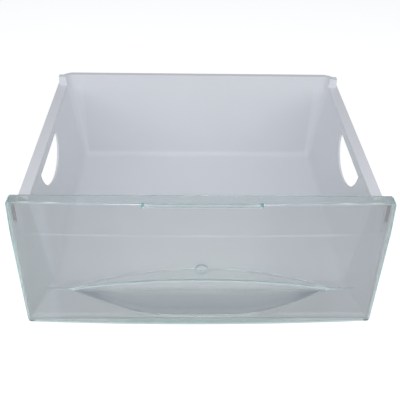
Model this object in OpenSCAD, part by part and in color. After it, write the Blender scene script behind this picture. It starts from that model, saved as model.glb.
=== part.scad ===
// Freezer drawer: a drafted white tub closed at the front by a clear clip-on panel.
// X runs across the drawer, the panel faces -Y and Z points up. The origin is at the
// middle of the drawer's footprint, on the surface that it stands on. Sizes in mm.

/* [Front panel] */
// Width of the clear panel
panel_w = 450; // [430:1:470]
// Height of the clear panel
panel_h = 190; // [185:1:205]
// Wall of the clear moulding
panel_wall = 2.5; // [2:0.1:3]
// How far the top flange runs back
flange_top = 14.5; // [13:0.5:18]
// How far the bottom flange runs back
flange_foot = 10.5; // [10:0.5:14]
// Height of the crease where the face changes its slope
crease_z = 148; // [140:1:156]
// How far the face leans forward at the crease
lean_crease = 6.5; // [4:0.5:8]
// How far the face leans forward at the foot
lean_foot = 12; // [9:0.5:14]
// Bow of the face in plan at the top edge
bow_top = 3; // [1:0.5:4]
// Bow of the face in plan at the crease
bow_crease = 4.5; // [3:0.5:6]
// Bow of the face in plan at the foot
bow_foot = 6; // [4:0.5:8]
// Radius between the face and its flanges
edge_r = 3; // [2:0.5:4]
// Radius of the panel's four corners, seen from the front
corner_r = 4; // [3:0.5:6]

/* [Finger scoop] */
// Half the width of the scoop's mouth
mouth_half = 161; // [155:1:170]
// Lowest point of the mouth
mouth_foot = 16.5; // [15:0.5:20]
// Height of the mouth's top edge at its two ends
mouth_top = 60.5; // [58:0.5:64]
// How much higher the mouth's top edge is at the middle
mouth_arch = 2; // [0:0.5:4]
// Rise of the mouth's two flanks for each mm across
flank_slope = 0.475; // [0.4:0.005:0.55]
// Where the flanks leave the mouth's foot, from the middle
flank_start = 72; // [60:1:80]
// Softness of the bend between the foot and a flank
flank_round = 12; // [8:1:16]
// How much higher the scoop's roof is at the middle
roof_arch = 14.5; // [12:0.5:18]
// Depth of the roof at the middle
roof_depth = 22.5; // [18:0.5:26]
// Half the width over which the roof's back edge fades out
roof_half = 182; // [176:1:188]
// Wall of the scoop
scoop_wall = 2.2; // [1.8:0.1:2.6]
// Half the length over which a low rib runs on from the scoop
rib_half = 196; // [190:1:205]
// Height of that rib above the inside of the face
rib_h = 0.8; // [0.5:0.1:1.5]

/* [Panel details] */
// Width of the label groove in the top edge
label_w = 137; // [100:1:150]
// How far the label groove reaches down from the top edge
label_h = 4.5; // [4:0.5:6]
// Depth of the label groove
label_depth = 0.9; // [0.6:0.1:1.2]
// Outer radius of the round boss
boss_r = 8; // [6:0.5:10]
// Height of the boss's centre
boss_z = 97; // [92:1:100]

/* [Front posts] */
// Height of the middle of the snap bead and of the pocket beside it
snap_z = 162; // [150:1:170]
// How far each post's cheek is thickened inwards
cheek_t = 6; // [4:0.5:8]
// Height of the narrow pocket in each cheek
pocket_h = 31; // [20:1:36]
// Width of the pocket at its top
pocket_w = 3; // [2:0.5:4]

/* [Tub] */
// Wall of the white moulding
tub_wall = 2.5; // [2:0.1:3]
// Back face of the tub, measured from the panel's top edge
tub_back = 340; // [300:1:360]
// Half the width of the flat floor
floor_half = 194; // [185:1:198]
// Height of the inside of the floor
floor_z = 35; // [32:1:40]
// Height of the two side rims
rim_z = 169.5; // [165:0.5:172]
// Half the width across the rims
rim_half = 221.5; // [218:0.5:222]
// Half the width between the insides of the rims
rim_inner = 209; // [206:0.5:210]
// Depth of the skirt under each rim
skirt_h = 12; // [8:1:12]
// Height of the back wall and of the two stops
back_z = 184; // [180:1:186]
// Front face of the two stops
stop_y = 325; // [300:1:328]
// How far the back rim's lip reaches past the inside of the back wall
lip_reach = 7.5; // [5:0.5:9]
// How far the lip hangs down at its rear edge
lip_drop = 8; // [5:1:12]
// Radius where the walls meet the floor
floor_r = 9; // [6:1:12]
// Radius of the rear corners at the top
rear_r = 12; // [8:1:24]

/* [Hand holes] */
// Length of each hand hole along the rim
hole_len = 112; // [100:1:120]
// Height of each hand hole
hole_h = 39.5; // [35:0.5:42]
// Height of the hand hole's straight top edge
hole_top = 157.5; // [154:0.5:159]
// Middle of the hand hole
hole_y = 153; // [140:1:170]

/* [Underside] */
// Distance of each skid from the middle
skid_x = 150; // [120:1:170]
// Thickness of a skid
skid_t = 3; // [2.5:0.5:4]
// Number of cross ribs under the floor
cross_ribs = 4; // [2:1:6]

/* [Hidden] */
half = panel_w / 2;
fit = 0.3;                                 // clearance between the two mouldings
frame_in = 6;                              // how far the tub reaches into the flanges
frame_depth = 8;                           // straight part of the tub's front frame
flare_y = 28;                              // where the flare meets the walls
post_top = panel_h - panel_wall - 0.5;     // top of the tub's two front posts
post_in = half - panel_wall - fit - tub_wall;  // inside of a post, from the middle
rim_root = rim_inner - 9;                  // rims and stops start within the wall
stop_half = rim_half - 2.5;                // outside of the stops
side_slope = (rim_inner - 1.5 - floor_half) / (rim_z - floor_z);
floor_back = tub_back - lip_reach - 1;     // inside of the back wall at the floor
back_slope = 1 / (back_z - floor_z);
mouth_end = mouth_half - 4;                // the mouth's blunt end, from the middle
scoop_steps = 13;
tilt = atan((flange_top - flange_foot + lean_foot) / panel_h);

function mix(a, b, t) = a + (b - a) * t;
function lean(z) = z >= crease_z
    ? lean_crease * (panel_h - z) / (panel_h - crease_z)
    : mix(lean_crease, lean_foot, (crease_z - z) / crease_z);
function bow(z) = z >= crease_z
    ? mix(bow_top, bow_crease, (panel_h - z) / (panel_h - crease_z))
    : mix(bow_crease, bow_foot, (crease_z - z) / crease_z);
// Outside of the face, and the leaning plane in which the flanges end
function face_y(x, z) = -lean(z) - bow(z) * (1 - pow(x / half, 2));
function rear_y(z) = mix(flange_foot - lean_foot, flange_top, z / panel_h);
// How far a rounded edge of radius r falls back at distance d from it
function fall_back(d, r) = d >= r ? 0 : r - sqrt(max(0, r * r - pow(r - d, 2)));
mid_y = (tub_back + face_y(0, edge_r)) / 2;

// The scoop's outlines at one place across: mouth floor, mouth top, roof and depth
function scoop_low(a) = mouth_foot + flank_slope * flank_round
    * ln(1 + exp((min(a, mouth_half) - flank_start) / flank_round));
function arch(a) = 1 - pow(min(a, mouth_half) / mouth_half, 2);
function scoop_lip(a) = mouth_top + mouth_arch * arch(a);
function scoop_roof(a) = scoop_lip(a) + roof_arch * arch(a);
function scoop_depth(a) = roof_depth * (1 - pow(min(a, roof_half) / roof_half, 2));

// How far a is past start, from 0 to 1 over the given length
function past(a, start, length) = min(1, max(0, (a - start) / length));

// Corners of the panel's closed section at x, each [y, z, softness, points]. The mouth and the
// scoop are folded flat on to the face where they aren't there, and the whole inside is folded
// on to the end plane of the flanges within the two side flanges.
function section(x, mouth, scoop, hollow) = let (
    a = abs(x),
    w = panel_wall,
    trim = fall_back(half - a, corner_r),
    out = fall_back(half - a, edge_r),
    inset = fall_back(half - w - a, 1),
    front = function(z) face_y(a, z) + out,
    inside = function(z) hollow ? face_y(a, z) + w + inset : rear_y(z),
    low = scoop_low(a),
    lip = scoop_lip(a),
    roof = scoop_roof(a),
    t = past(a, mouth_end, 12),
    u = 10 * past(a, rib_half, 6),
    under = mix(low - scoop_wall, mouth_top - scoop_wall / 2, t),
    over = mix(roof + scoop_wall, mouth_top + scoop_wall / 2, t),
    deep = max(face_y(a, roof) + scoop_depth(a) + scoop_wall, inside(over) + rib_h),
    foot_deep = mix(inside(under) + 1.5, deep, t),
    bottom = max(w, trim + 0.8),
    ceiling = panel_h - bottom,
    edge = hollow ? 0 : 1.5) concat(
    [[rear_y(panel_h - trim), panel_h - trim, 0.6, 2],
     [front(panel_h - trim), panel_h - trim, edge_r, 4],
     [front(crease_z), crease_z, 3, 2]],
    mouth ? [
        [front(lip), lip, 0.9, 2],
        [front(lip) + w, lip, 0.9, 2],
        [face_y(a, roof) + w, roof, 1.4, 2],
        [face_y(a, roof) + scoop_depth(a), roof, 2.4, 3],
        [face_y(a, low) + w, low + 0.3, 1.4, 2],
        [front(low), low, 0.9, 2]]
    : [for (i = [0:5]) let (z = mix(lip + 10 * t, low - 10 * t, i / 5)) [front(z), z, 1, i == 3 ? 3 : 2]],
    [[front(trim), trim, edge_r, 4],
     [rear_y(trim), trim, 0.6, 2],
     [rear_y(bottom), bottom, 0.6, 2],
     [inside(bottom + edge), bottom + edge, 1, 2]],
    scoop ? [
        [inside(under), under, 1.5, 2],
        [foot_deep, under, 1.5, 2],
        [deep, over, 2.4, 3],
        [inside(over), over, 1.5, 2]]
    : [for (i = [0:3]) let (z = mix(under - u, over + u, i / 3)) [inside(z), z, 1, i == 2 ? 3 : 2]],
    [[inside(crease_z), crease_z, 3, 2],
     [inside(ceiling - edge), ceiling - edge, 1, 2],
     [rear_y(ceiling), ceiling, 0.6, 2]]);

// A ring of corners with each one softened by a short curve
function soften(ring) = let (n = len(ring)) [for (i = [0:n - 1]) each let (
    here = [ring[i][0], ring[i][1]],
    back = [ring[(i + n - 1) % n][0], ring[(i + n - 1) % n][1]] - here,
    on = [ring[(i + 1) % n][0], ring[(i + 1) % n][1]] - here,
    p = here + back * min(0.45, ring[i][2] / norm(back)),
    q = here + on * min(0.45, ring[i][2] / norm(on)),
    m = ring[i][3] - 1)
    [for (k = [0:m]) let (t = k / m) p * pow(1 - t, 2) + here * 2 * t * (1 - t) + q * t * t]];

// Places across the panel from its middle to one side, and what the section holds at each
inner_half = half - panel_wall;
places = concat(
    [for (i = [0:scoop_steps]) [mouth_end * i / scoop_steps, true, true, true]],
    [for (d = [1, 4, 8, 12, 24]) [mouth_end + d, false, true, true]],
    [[rib_half - 1, false, true, true]],
    [for (d = [0, 6, 16]) [rib_half + d, false, false, true]],
    [for (d = [1, 0.7, 0.3, 0]) [inner_half - d, false, false, true]],
    [for (t = [0, 28, 48, 68, 90]) [mix(inner_half + 0.1, half, sin(t)), false, false, false]]);

// The whole moulding, lofted across from section to section
module panel_body() {
    last = len(places) - 1;
    sides = concat(
        [for (i = [last:-1:1]) let (p = places[i]) [-p[0], p[1], p[2], p[3]]], places);
    rings = [for (s = sides) [for (p = soften(section(s[0], s[1], s[2], s[3]))) [s[0], p[0], p[1]]]];
    n = len(rings[0]);
    m = len(rings);
    skin = [for (i = [0:m - 2]) for (j = [0:n - 1])
        let (a = i * n + j, b = i * n + (j + 1) % n) each
            [[a, a + n, b], [b, a + n, b + n]]];
    polyhedron(points = [for (r = rings) each r], faces = concat(skin,
        [[for (j = [0:n - 1]) j]], [[for (j = [n - 1:-1:0]) (m - 1) * n + j]]), convexity = 8);
}

// Puts things on the leaning plane in which the flanges end, at height z
module on_plane(z) {
    translate([0, rear_y(z), z]) rotate([-tilt, 0, 0]) children();
}

// Low bead inside each side flange that snaps into a groove in the tub's front post
module snap_bead(grow) {
    for (s = [-1, 1]) on_plane(snap_z) translate([s * (inner_half + 0.3), -3.2, 0])
        cube([2.4 + 2 * grow, 2.4 + 2 * grow, 16 + 2 * grow], center = true);
}

module front_panel() {
    // Brought to its full width as one thin moulding
    color([0.72, 0.86, 0.86, 0.45]) translate([0, -mid_y, 0]) resize([panel_w, 0, 0])
    difference() {
        union() {
            panel_body();
            snap_bead(0);
            translate([0, face_y(0, boss_z) + 1, boss_z]) rotate([90, 0, 0])
                cylinder(h = 1.6, r = boss_r, $fn = 48);
        }
        // Dished top of the boss
        translate([0, face_y(0, boss_z) + 0.1, boss_z]) rotate([90, 0, 0])
            cylinder(h = 2, r = boss_r - 1.2, $fn = 48);
        // Label groove in the top edge
        translate([-label_w / 2, face_y(0, panel_h) - 2, panel_h - label_h])
            cube([label_w, 2 + label_depth, label_h + 1]);
    }
}

// Inside half-width of the tub at height z
function wall_half(z) = floor_half + side_slope * (z - floor_z);

// Drafted box with round lower edges. grow swells it by the wall.
module tub_form(grow, y_front, top) {
    r = floor_r + grow;
    hull() {
        for (s = [-1, 1]) translate([s * (floor_half - floor_r), 0, floor_z + floor_r]) {
            translate([0, floor_back - floor_r, 0]) rotate([90, 0, 0]) sphere(r, $fn = 32);
            translate([0, y_front, 0]) rotate([-90, 0, 0])
                cylinder(h = floor_back - floor_r - y_front, r = r, $fn = 32);
        }
        for (s = [-1, 1]) translate([s * (wall_half(top) - rear_r), 0, top - 1]) {
            translate([0, floor_back + back_slope * (top - floor_z) - rear_r, 0])
                cylinder(h = 1, r = rear_r + grow, $fn = 48);
            translate([0, y_front, 0]) cylinder(h = 1, r = rear_r + grow, $fn = 48);
        }
    }
}

// Slanted plate in the leaning plane of the panel's flanges
module frame_slab(w, z0, z1, y_off, depth) {
    multmatrix([[1, 0, 0, 0], [0, 1, tan(tilt), rear_y(0) + y_off], [0, 0, 1, 0], [0, 0, 0, 1]])
        translate([-w / 2, 0, z0]) cube([w, depth, z1 - z0]);
}

// One cross-section of the tub, a thin plate at y
module section_slab(grow, y, top) {
    hull() for (s = [-1, 1]) {
        translate([s * (floor_half - floor_r), y, floor_z + floor_r]) rotate([-90, 0, 0])
            cylinder(h = 1, r = floor_r + grow, $fn = 32);
        translate([s * (wall_half(top) + grow - 1) - 1, y, top - 1]) cube([2, 1, 1]);
    }
}

module flare_outside() {
    w = panel_w - 2 * panel_wall - 2 * fit;
    hull() {
        frame_slab(w, panel_wall, post_top, -frame_in, frame_depth);
        section_slab(tub_wall, flare_y, rim_z);
    }
}

module flare_inside() {
    w = panel_w - 2 * panel_wall - 2 * fit - 2 * tub_wall;
    hull() {
        frame_slab(w, panel_wall + tub_wall, panel_h + 10, -frame_in - 1, 2);
        section_slab(0, flare_y + 1, panel_h + 10);
    }
}

// Thickened inside of each front post
module cheeks() {
    for (s = [-1, 1]) on_plane(snap_z)
        translate([s * (post_in - (cheek_t - 1) / 2), -0.9, 0])
            cube([cheek_t + 1, 9.6, pocket_h + 9], center = true);
}

// Narrow pocket in each cheek, pointed at its lower end, which shows dark through the panel
module cheek_pockets() {
    for (s = [-1, 1]) on_plane(snap_z) translate([0, 1.5, 0]) rotate([90, 0, 0]) linear_extrude(10)
        polygon([[s * (post_in - 0.4 - pocket_w), pocket_h / 2], [s * (post_in - 0.4), pocket_h / 2],
            [s * (post_in - 0.7), -pocket_h / 2]]);
}

// Outline of a hand hole: the lower half of an ellipse under a straight top edge
function hole_outline(a, b) = [for (i = [0:24]) let (t = -180 + 180 * i / 24) [a * cos(t), b * sin(t)]];

module hand_hole() {
    translate([-rim_half - 20, hole_y, hole_top]) rotate([90, 0, 90])
        linear_extrude(2 * rim_half + 40) polygon(hole_outline(hole_len / 2, hole_h));
}

module rims() {
    for (s = [-1, 1]) {
        translate([s > 0 ? rim_root : -rim_half, flare_y - 14, rim_z - tub_wall])
            cube([rim_half - rim_root, tub_back - 6 - flare_y + 14, tub_wall]);
        translate([s > 0 ? rim_half - tub_wall : -rim_half, flare_y - 14, rim_z - skirt_h])
            cube([tub_wall, tub_back - 6 - flare_y + 14, skirt_h]);
    }
}

// Stop that stands on the rear end of each rim
module stops() {
    for (s = [-1, 1]) translate([s > 0 ? rim_root : -stop_half, stop_y, rim_z - skirt_h])
        cube([stop_half - rim_root, tub_back - 6 - stop_y, back_z - 0.8 - rim_z + skirt_h]);
}

// Plan of the tub's rear end at the top, swollen by grow, as a plate from z0 to z1
module rear_plate(grow, z0, z1) {
    w = wall_half(back_z) - rear_r;
    y = tub_back - lip_reach - rear_r;
    translate([0, 0, z0]) linear_extrude(z1 - z0) {
        for (s = [-1, 1]) translate([s * w, y]) circle(rear_r + grow, $fn = 48);
        translate([-w, y]) square([2 * w, rear_r + grow]);
        translate([-w - rear_r - grow, y - 20]) square([2 * (w + rear_r + grow), 20]);
    }
}

// Lip round the top of the back wall: a flat rim with its rear edge turned down
module back_lip() {
    intersection() {
        difference() {
            rear_plate(lip_reach, back_z - lip_drop, back_z);
            rear_plate(lip_reach - tub_wall, back_z - lip_drop - 1, back_z - tub_wall);
        }
        translate([-half, stop_y + 2, 0]) cube([panel_w, tub_back, panel_h]);
    }
}

module underside() {
    under = floor_z - tub_wall + 0.5;
    for (s = [-1, 1]) difference() {
        translate([s * skid_x - skid_t / 2, 24, 0]) cube([skid_t, floor_back - 40, under]);
        translate([s * skid_x, floor_back - 16, 0]) rotate([45, 0, 0])
            cube([skid_t + 2, 24, 24], center = true);
    }
    for (i = [1:cross_ribs]) translate([-skid_x, 24 + i * (floor_back - 40) / (cross_ribs + 1), under - 9])
        cube([2 * skid_x, 2, 9]);
}

module tub() {
    color([0.88, 0.89, 0.92]) translate([0, -mid_y, 0])
    difference() {
        union() {
            difference() {
                union() {
                    intersection() {
                        tub_form(tub_wall, flare_y, back_z);
                        union() {
                            translate([-half, flare_y, 0]) cube([panel_w, tub_back, rim_z]);
                            translate([-half, stop_y, 0]) cube([panel_w, tub_back, back_z]);
                        }
                    }
                    flare_outside();
                    rims();
                    stops();
                    back_lip();
                    underside();
                }
                tub_form(0, flare_y, back_z + 1);
                flare_inside();
                hand_hole();
            }
            cheeks();
        }
        cheek_pockets();
        snap_bead(fit);
    }
}

tub();
front_panel();
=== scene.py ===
"""Freezer drawer: a satin white tub behind a clear, faintly blue-green front panel."""

import math

import bmesh
import bpy
from mathutils import Matrix, Vector


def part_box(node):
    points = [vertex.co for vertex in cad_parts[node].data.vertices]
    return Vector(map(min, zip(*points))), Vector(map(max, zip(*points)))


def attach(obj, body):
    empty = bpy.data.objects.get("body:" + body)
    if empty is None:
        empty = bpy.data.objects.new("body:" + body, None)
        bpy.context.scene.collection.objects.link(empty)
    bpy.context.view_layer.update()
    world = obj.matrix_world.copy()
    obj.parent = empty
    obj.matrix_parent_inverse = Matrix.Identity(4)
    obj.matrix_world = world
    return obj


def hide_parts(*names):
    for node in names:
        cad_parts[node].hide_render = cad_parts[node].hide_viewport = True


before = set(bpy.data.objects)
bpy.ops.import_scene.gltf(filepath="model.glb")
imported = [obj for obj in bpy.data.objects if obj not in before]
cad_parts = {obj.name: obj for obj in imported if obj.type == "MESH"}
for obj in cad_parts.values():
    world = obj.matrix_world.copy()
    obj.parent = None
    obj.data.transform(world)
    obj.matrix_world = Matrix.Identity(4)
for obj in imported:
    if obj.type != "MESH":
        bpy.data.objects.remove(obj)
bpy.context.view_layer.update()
scene = bpy.context.scene

# A millimetre in metres, and a metre in millimetres
MM, METRE = 0.001, 1000

# Camera: the photograph's own view, fitted to the drawer's edges, in metres and degrees
PICTURE = 400
FOCAL_PX = 606.395
OPTIC_AXIS_PX = (203.758, 198.554)
SENSOR_MM = 36.0
CAMERA_AT = (-0.0181, -0.7049, 0.6179)
YAW, PITCH, ROLL = 2.022, -37.777, 1.461
CLIP_START = 0.01

# Studio: the world's level on the drawer and as seen, the ground, and the lamps
WORLD_COLOUR, WORLD_LEVEL, WORLD_SEEN = (0.93, 0.96, 1.0), 0.42, 1.0
GROUND_COLOUR, GROUND_GLOW, GROUND_REACH = (0.88, 0.88, 0.88), 0.52, 6.0
LAMP_TARGET = (0, 0.1, 0.1)
LAMPS = [
    # name, place, width in metres, power in watts
    ("front_softbox", (-0.8, -1.0, 0.95), 1.1, 3.4),
    ("side_softbox", (-1.1, -0.5, 0.6), 0.7, 2.2),
    ("front_softbox", (0.8, -1.0, 0.95), 1.1, 3.4),
    ("side_softbox", (1.1, -0.5, 0.6), 0.7, 2.2),
    ("fill", (0, -0.75, 0.75), 0.5, 3.2),
]

# Front panel, in millimetres: x across from its middle, y back from its top front edge and z up
# from its foot
WALL = 2.5
FLANGE_TOP, FLANGE_FOOT = 14.5, 10.5
CREASE_Z = 148.0
LEAN_CREASE, LEAN_FOOT = 6.5, 12.0
BOW_TOP, BOW_CREASE, BOW_FOOT = 3.0, 4.5, 6.0
EDGE_R, CORNER_R, END_R, INNER_R = 3.0, 4.0, 0.6, 1.0
CREASE_R, LIP_R, ROOM_R, BACK_R, ROOT_R = 3.0, 0.9, 1.4, 2.4, 1.5
MOUTH_HALF, MOUTH_FOOT, MOUTH_TOP, MOUTH_ARCH = 161.0, 16.5, 60.5, 2.0
FLANK_SLOPE, FLANK_START, FLANK_ROUND = 0.475, 72.0, 12.0
FOOT_STEP, FOOT_RISE = 1.5, 0.3
ROOF_ARCH, ROOF_DEPTH, ROOF_HALF, SCOOP_WALL = 14.5, 22.5, 182.0, 2.2
RIB_Z, RIB_T, RIB_D, RIB_END, RIB_FADE = 60.4, 2.2, 0.8, 196.0, 6.0
LABEL_W, LABEL_H, LABEL_DEPTH, LABEL_CUT = 137.0, 5.2, 0.35, 2.0
BOSS_R, BOSS_RIM, BOSS_H, BOSS_Z = 8.0, 1.2, 0.6, 97.0
BOSS_ROOT, DISH_CUT, DISH_FLOOR, BOSS_SIDES = 1.0, 1.0, 0.1, 64

# The scoop narrows into its end ribs over this stretch
CLOSING_START, CLOSING_RUN = MOUTH_HALF - 4, 12

# Sections across the panel: how many over the mouth, beside it and up to the side flange, and
# where the flange's inner edge turns, in millimetres, and its outer edge, in degrees
MOUTH_SECTIONS, RIB_SECTIONS, RIB_CROWDING, SIDE_SECTIONS = 34, 22, 1.2, 6
INNER_TURN = (0.3, 0.5, 0.75, 0.9, 1.0)
OUTER_TURN = range(60, 91, 5)

# The first and last corner of the mouth and of the scoop's wall, in a section's list of corners
MOUTH_CORNERS, SHELL_CORNERS = (3, 8), (13, 16)

# A rounding takes up to this share of a straight, which is never counted as shorter than LEAST.
# A flange is at least GAP thick, and points nearer than WELD become one.
ROUNDING_SHARE, LEAST, GAP, WELD = 0.45, 1e-9, 0.1, 1e-4

# Facets that meet at less than this angle are shaded as one curved surface
SMOOTH_BELOW = 50

# The scoop is what lies deeper than the wall between two heights. The lens is the part of it that
# shows through the open mouth from above, and takes painted shade.
FOOT_TOP, SCOOP_TOP, SCOOP_SOFT = 8.0, 84.0, 0.8
LENS_SLOPE, LENS_SOFT, LENS_LOW, LENS_ROOM = 0.8, 2.0, 0.5, 1.0

# Both plastics, and the middle range of a noise
PLASTIC_IOR = 1.5
NOISE_LOW, NOISE_HIGH = 0.3, 0.7

# White moulding: linear colours, noises as scale and detail, and painted light and shade by place.
# A place is its middle, its reach to either side and its soft edge; POCKET_Y counts from the
# panel's top edge.
WHITE, WHITE_SPREAD, WHITE_PATCHES = (0.70, 0.715, 0.75), (0.985, 1.015), (9, 3)
# Painted light: the floor and the walls are lighter than the rest
FLOOR_LIGHT, FLOOR_X, FLOOR_Z = (0.745, 0.76, 0.80), (0, 190, 5), (36, 3, 3)
WALL_LIGHT, WALL_X, WALL_Z = (0.73, 0.745, 0.785), (199, 12, 4), (100, 60, 10)
FILLET_SHADE, FILLET_GAIN = (0.93, 0.93, 0.93), 6
# Painted shade inside the pockets of the front posts
RECESS_SHADE = (0.035, 0.045, 0.06)
POCKET_X, POCKET_Y, POCKET_Z = (218.6, 1.9, 0.5), (9.0, 9.0, 0.5), (169.0, 10.0, 3.5)
WHITE_SHEEN, WHITE_ROUGHNESS = (24, 4), (0.40, 0.50)
GRAIN, GRAIN_DEPTH, GRAIN_STRENGTH = (1600, 2), 0.00006, 0.5

# Clear moulding: what its body and its surfaces let through. A PASS is the colour that a surface
# passes, and a depth counts from the face. The tints by place below are painted light and shade.
BODY_TINT, BODY_DENSITY = (0.25, 0.92, 0.88), 40
SHADOW_PASS = (0.92, 0.92, 0.92)
CLEAR_SHARE = 0.86
COAT, COAT_ROUGHNESS = 0.5, 0.03
CLEAR_SHEEN, CLEAR_ROUGHNESS = (14, 3), (0.10, 0.14)

# Painted light and shade on the bare face: lighter in its middle in uneven patches, darker towards
# its top, and lighter or darker bands across
FACE_PASS, MIDDLE_LIGHT, HIGH_SHADE = (0.788, 0.758, 0.793), (0.83, 0.805, 0.815), (0.70, 0.675, 0.71)
MIDDLE_X, MIDDLE_PATCHES, MIDDLE_SPREAD = (0, 30, 130), (7, 2), (0.7, 1)
HIGH_REACH = (10, 70)
ACROSS = [
    # middle, reach, soft edge, tint
    (-202, 17, 10, (1.07, 1.10, 1.09)),
    (-135, 25, 25, (0.965, 0.965, 0.965)),
    (122, 28, 38, (0.94, 0.94, 0.94)),
]

# Painted light and shade at the edges, each with its place: light along the top, a highlight along
# the crease, shade along the foot and darker teal shade at the sides and top corners. A reach
# without a middle lies about an edge of the form
TOP_LIGHT, TOP_REACH = (0.835, 0.845, 0.855), (WALL, 0.4)
CREASE_HIGHLIGHT, CREASE_REACH, CREASE_PATCHES = (0.97, 0.96, 0.97), (0.5, 0.4), (12, 1)
FOOT_SHADE, FOOT_REACH = (0.58, 0.62, 0.63), (4, 3)
FOOT_MIDDLE_REACH, FOOT_MIDDLE_X = (10, 4), (0, 90, 40)
SIDE_SHADE, SIDE_REACH = (0.66, 0.70, 0.71), (2.6, 0.8)
CORNER_SHADE, CORNER_REACH = (0.58, 0.72, 0.73), (3, 3)
# Painted light along the flanges' rear ends
RIM_LIGHT, RIM_PLACE, RIM_BELOW_TOP = (0.82, 0.97, 0.97), (-0.5, 1.4, 0.6), (6, 3)

# The hem, a painted light line above the foot: it sinks by HEM_ARCH from the middle to the side,
# and runs from HEM_START to HEM_END short of the side
HEM_LIGHT, HEM_Z, HEM_ARCH = (0.865, 0.85, 0.88), (15.1, 0.9, 2.4), 5.9
HEM_START, HEM_END, HEM_SOFT = 105, 15, 14

# Painted light and shade on the scoop: its wall lighter, the lens and the mouth's lip in painted
# shade, the roof's root and rear edge lighter
SCOOP_LIGHT, LENS_SHADE = (0.985, 0.94, 0.965), (0.48, 0.51, 0.55)
LIP_SHADE, LIP_REACH, LIP_DEPTH = (0.70, 0.69, 0.71), (1.2, 5.0), (0, 2.6, 0.3)
ROOT_LIGHT, ROOT_REACH, ROOT_DROP = (0.80, 0.88, 0.89), (1.2, 0.9), 0.3
ARC_LIGHT, ARC_REACH, ARC_BACK = (0.82, 1.0, 0.985), (1.6, 0.8), (-0.3, 1.2, 0.7)
MOUTH_SOFT, ARC_SOFT = 4, 20

# The depth of the face itself
SKIN = (0, 1.0, 0.4)

# Painted light and shade at the label groove and the boss: shade in the groove, dark teal lines at
# its ends and on the boss's ring, and a light line along its lower step
FRONT_REACH, LABEL_SOFT = (2.4, 0.4), 0.4
LABEL_SHADE = (0.66, 0.70, 0.71)
MARK_SHADE, MARK_REACH = (0.15, 0.33, 0.35), (1.5, 0.4)
STEP_LIGHT, STEP_REACH, STEP_RISE, STEP_SHORT, STEP_SOFT = (0.85, 0.95, 0.95), (0.6, 0.1), 0.8, 2, 4
RING_SHADE, RING_SOFT = (0.33, 0.46, 0.47), 0.3

# How much of the clear share each line of painted light or shade gives up for a matt surface
MARK_MATT, RING_MATT, STEP_MATT = 0.45, 0.45, 0.099
ROOT_MATT, ARC_MATT, RIM_MATT, HEM_MATT = 0.108, 0.54, 0.54, 0.081


class Nodes:
    """One material's nodes. A mask is an output from 0 to 1, and places are in millimetres."""

    def __init__(self, name):
        self.mat = bpy.data.materials.new(name)
        self.mat.use_nodes = True
        self.tree = self.mat.node_tree
        self.tree.nodes.clear()
        self.out = self.add("OutputMaterial")

    def add(self, kind, inputs=None):
        """Adds a node with the given inputs, each an output, a number or a colour."""
        node = self.tree.nodes.new("ShaderNode" + kind)
        for name, value in (inputs or {}).items():
            self.feed(node.inputs[name], value)
        return node

    def feed(self, socket, value):
        if isinstance(value, bpy.types.NodeSocket):
            self.tree.links.new(value, socket)
        else:
            socket.default_value = (*value, 1) if isinstance(value, tuple) else value

    def locate(self):
        """Makes the surface's place known: x, y, z and the distance from the middle plane."""
        self.coords = self.add("TexCoord")
        self.x, self.y, self.z = (self.math("DIVIDE", axis, MM) for axis in self.split("Object"))
        self.aside = self.math("ABSOLUTE", self.x)

    def split(self, coords):
        return self.add("SeparateXYZ", {"Vector": self.coords.outputs[coords]}).outputs

    def math(self, operation, *values):
        node = self.add("Math")
        node.operation = operation
        for socket, value in zip(node.inputs, values):
            self.feed(socket, value)
        return node.outputs[0]

    def product(self, first, *others):
        for other in others:
            first = self.math("MULTIPLY", first, other)
        return first

    def greatest(self, first, *others):
        for other in others:
            first = self.math("MAXIMUM", first, other)
        return first

    def near(self, value, middle, reach, soft):
        """1 within reach of the middle, falling to 0 over the soft length."""
        off = self.math("ABSOLUTE", self.math("SUBTRACT", value, middle))
        falling = {"Value": off, "From Min": reach + soft, "From Max": reach}
        return self.add("MapRange", falling).outputs["Result"]

    def arch(self, half):
        """1 in the drawer's middle, falling in a parabola to 0 at half to either side."""
        return self.math("SUBTRACT", 1, self.math("POWER", self.math("DIVIDE", self.x, half), 2))

    def noise(self, scale, detail):
        """Noise over the object's own coordinates."""
        inputs = {"Scale": scale, "Detail": detail, "Vector": self.coords.outputs["Object"]}
        return self.add("TexNoise", inputs).outputs["Fac"]

    def mottle(self, noise, low, high):
        """Maps a noise's middle range on to low..high."""
        inputs = {"Value": self.noise(*noise), "From Min": NOISE_LOW, "From Max": NOISE_HIGH,
                  "To Min": low, "To Max": high}
        return self.add("MapRange", inputs).outputs["Result"]

    def mark(self, name):
        """A value stored on the mesh."""
        node = self.add("Attribute")
        node.attribute_name = name
        return node.outputs["Fac"]

    def blend(self, mask, a, b, how="MIX"):
        """Mixes two colours, each a value or an output."""
        node = self.add("Mix")
        node.data_type = "RGBA"
        node.blend_type = how
        for name, value in (("Factor", mask), ("A", a), ("B", b)):
            self.feed(node.inputs[name], value)
        return node.outputs["Result"]


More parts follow.
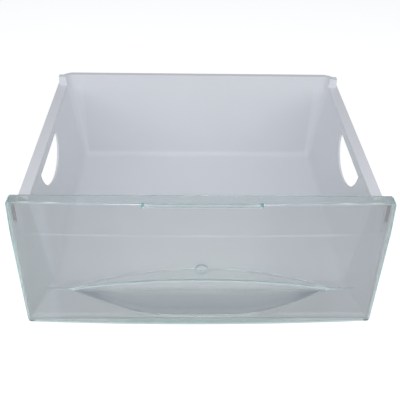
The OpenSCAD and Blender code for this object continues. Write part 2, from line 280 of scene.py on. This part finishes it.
def white_plastic(form):
    """Satin polystyrene with a spark-eroded grain and faint sheen changes from moulding. The floor
    and the walls carry painted light, and the fillets and the pockets in the front posts painted
    shade."""
    n = Nodes("white_plastic")
    n.locate()
    patches = n.mottle(WHITE_PATCHES, 0, 1)
    tone = n.blend(patches, *(tuple(c * k for c in WHITE) for k in WHITE_SPREAD))
    # Painted light: lighter floor and walls
    painted_floor_light = n.product(n.near(n.z, *FLOOR_Z), n.near(n.x, *FLOOR_X))
    tone = n.blend(painted_floor_light, tone, FLOOR_LIGHT)
    walls = n.product(n.near(n.aside, *WALL_X), n.near(n.z, *WALL_Z))
    tone = n.blend(walls, tone, WALL_LIGHT)
    square = n.greatest(*[n.math("ABSOLUTE", axis) for axis in n.split("Normal")])
    fillet = n.math("MINIMUM", n.product(n.math("SUBTRACT", 1, square), FILLET_GAIN), 1)
    tone = n.blend(fillet, tone, FILLET_SHADE, "MULTIPLY")
    # Painted shade inside the pockets of the front posts
    from_edge = n.math("SUBTRACT", n.y, form.back)
    pocket = n.product(
        n.near(n.aside, *POCKET_X), n.near(from_edge, *POCKET_Y), n.near(n.z, *POCKET_Z))
    tone = n.blend(pocket, tone, RECESS_SHADE)
    grain = n.add("Bump", {
        "Distance": GRAIN_DEPTH, "Strength": GRAIN_STRENGTH, "Height": n.noise(*GRAIN)})
    bsdf = n.add("BsdfPrincipled", {
        "Base Color": tone,
        "IOR": PLASTIC_IOR,
        "Roughness": n.mottle(WHITE_SHEEN, *WHITE_ROUGHNESS),
        "Normal": grain.outputs["Normal"],
    })
    n.feed(n.out.inputs["Surface"], bsdf.outputs["BSDF"])
    return n.mat


def painted_face_light(n, form):
    """Painted light and shade on the bare face: lighter in its middle, darker towards its top and
    uneven across.
    """
    centre = n.product(n.near(n.x, *MIDDLE_X), n.mottle(MIDDLE_PATCHES, *MIDDLE_SPREAD))
    tone = n.blend(centre, FACE_PASS, MIDDLE_LIGHT)
    tone = n.blend(n.near(n.z, form.height, *HIGH_REACH), tone, HIGH_SHADE)
    for middle, reach, soft, tint in ACROSS:
        tone = n.blend(n.near(n.x, middle, reach, soft), tone, tint, "MULTIPLY")
    return tone


def flange_tones(n, form):
    """Painted light and shade on the crease and the flanges, as (mask, tint, matt share)."""
    crease = n.product(n.near(n.z, CREASE_Z, *CREASE_REACH), n.mottle(CREASE_PATCHES, 0, 1))
    foot_middle = n.product(n.near(n.z, 0, *FOOT_MIDDLE_REACH), n.near(n.x, *FOOT_MIDDLE_X))
    foot = n.greatest(n.near(n.z, 0, *FOOT_REACH), foot_middle)
    corner = n.product(
        n.near(n.aside, form.half, *CORNER_REACH), n.near(n.z, form.height, *CORNER_REACH))
    return [
        (n.near(n.z, form.height, *TOP_REACH), TOP_LIGHT, 0),
        (crease, CREASE_HIGHLIGHT, 0),
        (foot, FOOT_SHADE, 0),
        (n.near(n.aside, form.half, *SIDE_REACH), SIDE_SHADE, 0),
        (corner, CORNER_SHADE, 0),
    ]


def scoop_tones(n):
    """Painted light and shade on the scoop: light on its wall, shade on the lens and on the lip of
    its mouth, and light on the roof's root and rear edge, where the clear plate gathers light, as
    (mask, tint, matt share)."""
    depth = n.mark("depth")
    arch = n.greatest(n.arch(MOUTH_HALF), 0)
    over_lip = n.math("SUBTRACT", n.z, n.product(arch, MOUTH_ARCH))
    over_roof = n.math("SUBTRACT", n.z, n.product(arch, MOUTH_ARCH + ROOF_ARCH))
    roof_top = MOUTH_TOP + SCOOP_WALL
    mouth = n.near(n.x, 0, MOUTH_HALF, MOUTH_SOFT)
    lip = n.product(n.near(over_lip, MOUTH_TOP, *LIP_REACH), n.near(depth, *LIP_DEPTH), mouth)
    root = n.product(
        n.near(over_roof, roof_top - ROOT_DROP, *ROOT_REACH), n.near(depth, *SKIN), mouth)
    roof_back = n.math("ADD", n.product(n.arch(ROOF_HALF), ROOF_DEPTH), SCOOP_WALL)
    past_back = n.math("SUBTRACT", depth, n.greatest(roof_back, WALL + RIB_D))
    arc = n.product(n.near(over_roof, roof_top, *ARC_REACH), n.near(past_back, *ARC_BACK),
                    n.near(n.x, 0, MOUTH_HALF, ARC_SOFT))
    return [
        (n.mark("scoop"), SCOOP_LIGHT, 0),
        (n.mark("lens"), LENS_SHADE, 0),
        (lip, LIP_SHADE, 0),
        (root, ROOT_LIGHT, ROOT_MATT),
        (arc, ARC_LIGHT, ARC_MATT),
    ]


def label_tones(n, form):
    """Painted shade on the groove in the top edge, its ends and the boss's ring, and painted light
    along its lower step, as (mask, tint, matt share)."""
    front = n.near(n.y, form.back + form.face(0, form.height), *FRONT_REACH)
    edge = n.product(front, n.near(n.z, form.height, LABEL_H, LABEL_SOFT))
    label = n.product(edge, n.near(n.x, 0, LABEL_W / 2, LABEL_SOFT))
    ends = n.product(edge, n.near(n.aside, LABEL_W / 2, *MARK_REACH))
    step = n.product(front, n.near(n.z, form.height - LABEL_H + STEP_RISE, *STEP_REACH),
                     n.near(n.x, 0, LABEL_W / 2 - STEP_SHORT, STEP_SOFT))
    off_z = n.math("SUBTRACT", n.z, BOSS_Z)
    radius = n.math("SQRT", n.math("ADD", n.product(n.x, n.x), n.product(off_z, off_z)))
    raised = n.math("LESS_THAN", n.y, form.back + form.face(0, BOSS_Z) + WALL / 2)
    ring = n.product(n.near(radius, BOSS_R - BOSS_RIM / 2, BOSS_RIM / 2, RING_SOFT), raised)
    return [
        (label, LABEL_SHADE, 0),
        (ends, MARK_SHADE, MARK_MATT),
        (ring, RING_SHADE, RING_MATT),
        (step, STEP_LIGHT, STEP_MATT),
    ]


def rim_tones(n, form):
    """Painted light at the flanges' rear ends and a painted light line above the foot, as (mask,
    tint, matt share).
    """
    slope = (form.rear(form.height) - form.rear(0)) / form.height
    rear = n.math("ADD", n.product(n.z, slope), form.back + form.rear(0))
    drop, soft = RIM_BELOW_TOP
    rim = n.product(n.near(n.math("SUBTRACT", n.y, rear), *RIM_PLACE),
                    n.near(n.z, 0, form.height - drop, soft),
                    n.math("SUBTRACT", 1, n.mark("scoop")))
    hem_z = n.math("SUBTRACT", n.z, n.product(n.arch(form.half), HEM_ARCH))
    hem_end = form.half - HEM_END
    hem_x = n.near(n.aside, (HEM_START + hem_end) / 2, (hem_end - HEM_START) / 2, HEM_SOFT)
    hem = n.product(n.near(hem_z, *HEM_Z), hem_x, n.near(n.mark("depth"), *SKIN))
    return [
        (rim, RIM_LIGHT, RIM_MATT),
        (hem, HEM_LIGHT, HEM_MATT),
    ]


def clear_plastic(form):
    """Clear polystyrene: colour comes from the length of plastic that light crosses, and tones
    by place are painted light and shade: the light that the moulding gathers at its edges, and
    shade."""
    n = Nodes("clear_plastic")
    n.locate()
    tone, matt = painted_face_light(n, form), []
    tones = flange_tones(n, form) + scoop_tones(n) + label_tones(n, form) + rim_tones(n, form)
    # Each tone is painted light or shade, laid over the face in turn
    for mask, tint, share in tones:
        tone = n.blend(mask, tone, tint)
        if share:
            matt.append(n.product(mask, share))
    bsdf = n.add("BsdfPrincipled", {
        "Base Color": tone,
        "Transmission Weight": n.math("SUBTRACT", CLEAR_SHARE, n.greatest(*matt)),
        "IOR": PLASTIC_IOR,
        "Coat Weight": COAT,
        "Coat Roughness": COAT_ROUGHNESS,
        "Roughness": n.mottle(CLEAR_SHEEN, *CLEAR_ROUGHNESS),
    })
    passing = n.add("BsdfTransparent", {"Color": SHADOW_PASS})
    surface = n.add("MixShader", {
        "Fac": n.add("LightPath").outputs["Is Shadow Ray"],
        1: bsdf.outputs["BSDF"],
        2: passing.outputs["BSDF"],
    })
    body = n.add("VolumeAbsorption", {"Color": BODY_TINT, "Density": BODY_DENSITY})
    n.feed(n.out.inputs["Surface"], surface.outputs["Shader"])
    n.feed(n.out.inputs["Volume"], body.outputs["Volume"])
    return n.mat


def dress(node, mat):
    """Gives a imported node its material."""
    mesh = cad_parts[node].data
    mesh.materials.clear()
    mesh.materials.append(mat)


def mix(a, b, t):
    return a + (b - a) * t


def clamp(t):
    return max(0.0, min(1.0, t))


def fall(d, r):
    """How far an edge of radius r falls back at distance d from it."""
    return 0.0 if d >= r else r - math.sqrt(max(0.0, r * r - (r - max(d, 0.0)) ** 2))


class Panel:
    """The moulding's form: one closed section in the YZ plane for each place across."""

    def __init__(self, box):
        low, high = (Vector(c) * METRE for c in box)
        self.half, self.height, self.front = high.x, high.z, low.y
        self.back = high.y - FLANGE_TOP

    def face(self, x, z):
        """y of the face, which leans and bows forward from its top corners."""
        up = (self.height - z) / (self.height - CREASE_Z)
        down = (CREASE_Z - z) / CREASE_Z
        above = z >= CREASE_Z
        lean = LEAN_CREASE * up if above else mix(LEAN_CREASE, LEAN_FOOT, down)
        bow = mix(BOW_TOP, BOW_CREASE, up) if above else mix(BOW_CREASE, BOW_FOOT, down)
        return -lean - bow * (1 - (x / self.half) ** 2)

    def rear(self, z):
        """y of the flanges' rear ends."""
        return mix(FLANGE_FOOT - LEAN_FOOT, FLANGE_TOP, z / self.height)

    def low(self, x):
        """z of the mouth's lower edge: nearly flat, then a straight flank to either side."""
        run = (min(x, MOUTH_HALF) - FLANK_START) / FLANK_ROUND
        return MOUTH_FOOT + FLANK_SLOPE * FLANK_ROUND * math.log(1 + math.exp(run))

    def lip(self, x):
        """z of the mouth's upper edge."""
        return MOUTH_TOP + MOUTH_ARCH * (1 - (min(x, MOUTH_HALF) / MOUTH_HALF) ** 2)

    def roof(self, x):
        """z of the finger room's roof."""
        return self.lip(x) + ROOF_ARCH * (1 - (min(x, MOUTH_HALF) / MOUTH_HALF) ** 2)

    def depth(self, x):
        """How far the finger room reaches back from the face."""
        return ROOF_DEPTH * (1 - (min(x, ROOF_HALF) / ROOF_HALF) ** 2)

    def section(self, x, cavity, shell, hollow):
        """Points of the section at x. cavity, shell and hollow say whether the finger room,
        the scoop's wall and the space inside the flanges are there at this place."""
        side, x = math.copysign(1, x), abs(x)
        trim = fall(self.half - x, CORNER_R)
        top, foot = self.height - trim, trim
        out = fall(self.half - x, EDGE_R)
        end = -fall(self.half - x, END_R)
        if not hollow:
            end -= fall(x - self.half + WALL, END_R)
        inset = fall(self.half - WALL - x, INNER_R) if hollow else 0.0

        def outer(z):
            return self.face(x, z) + out

        def inner(z):
            return self.face(x, z) + WALL + inset if hollow else self.rear(z) + end

        low, lip, roof = self.low(x), self.lip(x), self.roof(x)
        under, over = low - SCOOP_WALL, roof + SCOOP_WALL
        back = self.face(x, roof) + self.depth(x) + SCOOP_WALL
        foot_back = inner(under) + FOOT_STEP
        if x > CLOSING_START:
            t = clamp((x - CLOSING_START) / CLOSING_RUN)
            under, over = mix(under, RIB_Z - RIB_T / 2, t), mix(over, RIB_Z + RIB_T / 2, t)
            ridge = RIB_D * clamp((RIB_END - x) / RIB_FADE)
            back = max(back, inner(over) + ridge)
            foot_back = mix(foot_back, back, t)
        if not shell:
            back, foot_back = inner(over), inner(under)
        bottom, ceiling = max(WALL, foot + GAP), min(self.height - WALL, top - GAP)
        corners = [
            # y, z, rounding, points in the rounding, points to the next corner
            (self.rear(top) + end, top, END_R, 3, 2),
            (outer(top), top, EDGE_R, 6, 4),
            (outer(CREASE_Z), CREASE_Z, CREASE_R, 4, 9),
            (outer(lip), lip, LIP_R, 4, 1),
            (outer(lip) + WALL, lip, LIP_R, 4, 2),
            (self.face(x, roof) + WALL, roof, ROOM_R, 4, 3),
            (self.face(x, roof) + self.depth(x), roof, BACK_R, 5, 7),
            (self.face(x, low) + WALL, low + FOOT_RISE, ROOM_R, 4, 1),
            (outer(low), low, LIP_R, 4, 3),
            (outer(foot), foot, EDGE_R, 6, 1),
            (self.rear(foot) + end, foot, END_R, 3, 1),
            (self.rear(bottom) + end, bottom, END_R, 3, 1),
            (inner(bottom), bottom, INNER_R, 3, 3),
            (inner(under), under, ROOT_R, 4, 1),
            (foot_back, under, ROOT_R, 4, 7),
            (back, over, BACK_R, 5, 3),
            (inner(over), over, ROOT_R, 4, 8),
            (inner(CREASE_Z), CREASE_Z, CREASE_R, 4, 4),
            (inner(ceiling), ceiling, INNER_R, 3, 1),
            (self.rear(ceiling) + end, ceiling, END_R, 3, 1),
        ]
        points, spans = rounded(corners)
        if not cavity:
            flatten(points, spans, MOUTH_CORNERS, outer)
        if not shell or not hollow:
            flatten(points, spans, SHELL_CORNERS, inner)
        return [(side * x, y, z) for y, z in points]


def rounded(corners):
    """Softens each corner with a short curve and adds points along the straights. Returns the
    points, and where in their list each corner's curve starts and ends."""
    curves = []
    for i, (y, z, reach, steps, _) in enumerate(corners):
        here = Vector((y, z))
        before = Vector(corners[i - 1][:2]) - here
        after = Vector(corners[(i + 1) % len(corners)][:2]) - here
        a = here + before * min(ROUNDING_SHARE, reach / max(before.length, LEAST))
        b = here + after * min(ROUNDING_SHARE, reach / max(after.length, LEAST))
        ts = [k / (steps - 1) for k in range(steps)]
        curves.append([a * (1 - t) ** 2 + here * 2 * t * (1 - t) + b * t * t for t in ts])
    points, spans = [], []
    for i, curve in enumerate(curves):
        spans.append((len(points), len(points) + len(curve) - 1))
        points += curve
        ahead, between = curves[(i + 1) % len(curves)][0], corners[i][4]
        points += [curve[-1].lerp(ahead, k / between) for k in range(1, between)]
    return points, spans


def flatten(points, spans, corners, line):
    """Lays the section from one corner to another on a line, at evenly spaced heights."""
    first, last = spans[corners[0]][0], spans[corners[1]][1]
    z0, z1 = points[first][1], points[last][1]
    for i in range(first, last + 1):
        z = mix(z0, z1, (i - first) / (last - first))
        points[i] = Vector((line(z), z))


def panel_stations(half):
    """Places across the panel from its middle to its side, with what the section holds there."""
    quarter = [math.pi / 2 * i / MOUTH_SECTIONS for i in range(MOUTH_SECTIONS + 1)]
    stations = [(CLOSING_START * math.sin(a), True, True, True) for a in quarter]
    ribs = [(i / RIB_SECTIONS) ** RIB_CROWDING for i in range(RIB_SECTIONS + 1)]
    stations += [(mix(CLOSING_START, RIB_END, t), False, True, True) for t in ribs]
    flange = half - WALL
    last = flange - INNER_R
    sides = [mix(RIB_END, last, i / SIDE_SECTIONS) for i in range(1, SIDE_SECTIONS + 1)]
    stations += [(x, False, False, True) for x in sides]
    stations += [(last + d, False, False, True) for d in INNER_TURN]
    turn = [half - EDGE_R * (1 - math.sin(math.radians(angle))) for angle in OUTER_TURN]
    stations += [(x, False, False, False) for x in [flange] + turn]
    return stations


def panel_mesh(form):
    """Lofts the sections from side to side into one closed mesh."""
    side = panel_stations(form.half)
    stations = [(-x, *has) for x, *has in reversed(side[1:])] + side
    mesh = bmesh.new()
    rings = [[mesh.verts.new(p) for p in form.section(x, *has)] for x, *has in stations]
    count = len(rings[0])
    for a, b in zip(rings, rings[1:]):
        for i in range(count):
            j = (i + 1) % count
            mesh.faces.new((a[i], b[i], b[j], a[j]))
    mesh.faces.new(rings[0])
    mesh.faces.new(rings[-1])
    bmesh.ops.remove_doubles(mesh, verts=mesh.verts, dist=WELD)
    bmesh.ops.dissolve_degenerate(mesh, edges=mesh.edges, dist=WELD)
    bmesh.ops.recalc_face_normals(mesh, faces=mesh.faces)
    return mesh


def to_object(mesh, name, back):
    """Turns a bmesh in the panel's millimetres into an object in the row frame."""
    bmesh.ops.translate(mesh, verts=mesh.verts, vec=(0, back, 0))
    bmesh.ops.scale(mesh, verts=mesh.verts, vec=(MM,) * 3)
    data = bpy.data.meshes.new(name)
    mesh.to_mesh(data)
    mesh.free()
    obj = bpy.data.objects.new(name, data)
    scene.collection.objects.link(obj)
    return obj


def disc(form, name, radius, y0, y1):
    """A disc at the boss's height, from y0 to y1."""
    mesh = bmesh.new()
    bmesh.ops.create_cone(mesh, cap_ends=True, segments=BOSS_SIDES, radius1=radius,
                          radius2=radius, depth=y1 - y0)
    turned = Matrix.Rotation(math.pi / 2, 3, "X")
    bmesh.ops.rotate(mesh, verts=mesh.verts, matrix=turned)
    bmesh.ops.translate(mesh, verts=mesh.verts, vec=(0, (y0 + y1) / 2, BOSS_Z))
    return to_object(mesh, name, form.back)


def block(form, name, size, middle):
    """A block about its middle."""
    mesh = bmesh.new()
    bmesh.ops.create_cube(mesh, size=1)
    bmesh.ops.scale(mesh, verts=mesh.verts, vec=size)
    bmesh.ops.translate(mesh, verts=mesh.verts, vec=middle)
    return to_object(mesh, name, form.back)


def combine(obj, other, how):
    """Applies one boolean and drops the tool."""
    step = obj.modifiers.new(how.lower(), "BOOLEAN")
    step.operation, step.solver, step.object = how, "MANIFOLD", other
    with bpy.context.temp_override(object=obj, active_object=obj):
        bpy.ops.object.modifier_apply(modifier=step.name)
    bpy.data.objects.remove(other)


def cut_details(obj, form):
    """Adds the dished boss to the panel and cuts the label groove into its top edge."""
    y = form.face(0, BOSS_Z)
    boss = disc(form, "boss", BOSS_R, y - BOSS_H, y + BOSS_ROOT)
    dish = disc(form, "dish", BOSS_R - BOSS_RIM, y - BOSS_H - DISH_CUT, y - DISH_FLOOR)
    size = (LABEL_W, LABEL_CUT + LABEL_DEPTH, LABEL_H)
    y = form.face(0, form.height) + (LABEL_DEPTH - LABEL_CUT) / 2
    groove = block(form, "groove", size, (0, y, form.height + (LABEL_CUT - LABEL_H) / 2))
    combine(obj, boss, "UNION")
    combine(obj, dish, "DIFFERENCE")
    combine(obj, groove, "DIFFERENCE")


def store_marks(mesh, form):
    """Keeps the points inside the CAD's box, and stores on each how far it lies behind the face,
    whether it is on the scoop, and how much of it is seen through the open mouth, which sets how
    much painted shade the lens takes."""
    names = ("depth", "scoop", "lens")
    behind, scoop, lens = (mesh.attributes.new(name, "FLOAT", "POINT") for name in names)
    for i, vert in enumerate(mesh.vertices):
        vert.co.y = max(vert.co.y, form.front * MM)
        x, y, z = vert.co / MM
        x = abs(x)
        depth = y - form.back - form.face(x, z)
        behind.data[i].value = depth
        if x < MOUTH_HALF and FOOT_TOP < z < SCOOP_TOP:
            on_scoop = clamp((depth - WALL) / SCOOP_SOFT)
            sight = form.lip(x) - LENS_SLOPE * depth
            below = sight - z
            share = mix(LENS_LOW, 1, clamp(below / max(sight - form.low(x), LENS_ROOM)))
            scoop.data[i].value = on_scoop
            lens.data[i].value = on_scoop * clamp(below / LENS_SOFT) * share


def front_panel(form):
    """The clear moulding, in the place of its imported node."""
    obj = to_object(panel_mesh(form), "clear_front", form.back)
    cut_details(obj, form)
    obj.data.materials.clear()
    obj.data.materials.append(clear_plastic(form))
    store_marks(obj.data, form)
    obj.data.shade_smooth()
    obj.data.set_sharp_from_angle(angle=math.radians(SMOOTH_BELOW))
    shade = obj.modifiers.new("shade", "WEIGHTED_NORMAL")
    shade.keep_sharp = True
    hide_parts("front_panel")
    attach(obj, "root")


def ground():
    """Plain pale ground, which shows white and keeps the drawer's shadow."""
    corners = [(-1, -1), (1, -1), (1, 1), (-1, 1)]
    mesh = bpy.data.meshes.new("ground")
    mesh.from_pydata([(x * GROUND_REACH, y * GROUND_REACH, 0) for x, y in corners],
                     [], [(0, 1, 2, 3)])
    obj = bpy.data.objects.new("ground", mesh)
    scene.collection.objects.link(obj)
    n = Nodes("pale_ground")
    path = n.add("LightPath").outputs
    seen = n.greatest(*(path[f"Is {ray} Ray"] for ray in ("Camera", "Glossy", "Transmission")))
    matt = n.add("BsdfDiffuse", {"Color": GROUND_COLOUR})
    glow = n.add("Emission", {"Strength": n.product(seen, GROUND_GLOW)})
    both = n.add("AddShader", {0: matt.outputs["BSDF"], 1: glow.outputs["Emission"]})
    n.feed(n.out.inputs["Surface"], both.outputs["Shader"])
    mesh.materials.append(n.mat)


def soft_light(name, at, size, power):
    """A round lamp that faces the drawer."""
    lamp = bpy.data.lights.new(name, "AREA")
    lamp.shape = "DISK"
    lamp.size = size
    lamp.energy = power
    obj = bpy.data.objects.new(name, lamp)
    obj.location = at
    aim = Vector(LAMP_TARGET) - Vector(at)
    obj.rotation_euler = aim.to_track_quat("-Z", "Y").to_euler()
    scene.collection.objects.link(obj)


def studio():
    """An even pale world, which shows white, and five soft lamps to the front and sides."""
    world = bpy.data.worlds.new("studio")
    scene.world = world
    world.use_nodes = True
    nodes, links = world.node_tree.nodes, world.node_tree.links
    sky = nodes["Background"]
    sky.inputs["Color"].default_value = (*WORLD_COLOUR, 1)
    path = nodes.new("ShaderNodeLightPath")
    seen = nodes.new("ShaderNodeMath")
    seen.operation = "MAXIMUM"
    links.new(path.outputs["Is Camera Ray"], seen.inputs[0])
    links.new(path.outputs["Is Transmission Ray"], seen.inputs[1])
    level = nodes.new("ShaderNodeMix")
    level.data_type = "FLOAT"
    level.inputs["A"].default_value = WORLD_LEVEL
    level.inputs["B"].default_value = WORLD_SEEN
    links.new(seen.outputs[0], level.inputs["Factor"])
    links.new(level.outputs["Result"], sky.inputs["Strength"])
    for lamp in LAMPS:
        soft_light(*lamp)


def camera():
    """Stands where the photograph was taken."""
    yaw, pitch, roll = (math.radians(a) for a in (YAW, PITCH, ROLL))
    flat = math.cos(pitch)
    ahead = Vector((math.sin(yaw) * flat, math.cos(yaw) * flat, math.sin(pitch)))
    level = Vector((math.cos(yaw), -math.sin(yaw), 0))
    up = level.cross(ahead)
    right = level * math.cos(roll) + up * math.sin(roll)
    top = up * math.cos(roll) - level * math.sin(roll)
    data = bpy.data.cameras.new("camera")
    data.sensor_width = SENSOR_MM
    data.lens = FOCAL_PX / PICTURE * SENSOR_MM
    data.shift_x = (PICTURE / 2 - OPTIC_AXIS_PX[0]) / PICTURE
    data.shift_y = (OPTIC_AXIS_PX[1] - PICTURE / 2) / PICTURE
    data.clip_start = CLIP_START
    obj = bpy.data.objects.new("camera", data)
    turn = Matrix((right, top, -ahead)).transposed()
    obj.matrix_world = Matrix.Translation(CAMERA_AT) @ turn.to_4x4()
    scene.collection.objects.link(obj)
    scene.camera = obj


camera()
ground()
studio()
panel = Panel(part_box("front_panel"))
dress("tub", white_plastic(panel))
front_panel(panel)

scene.view_settings.view_transform = "Standard"
scene.cycles.caustics_refractive = False
scene.cycles.caustics_reflective = False
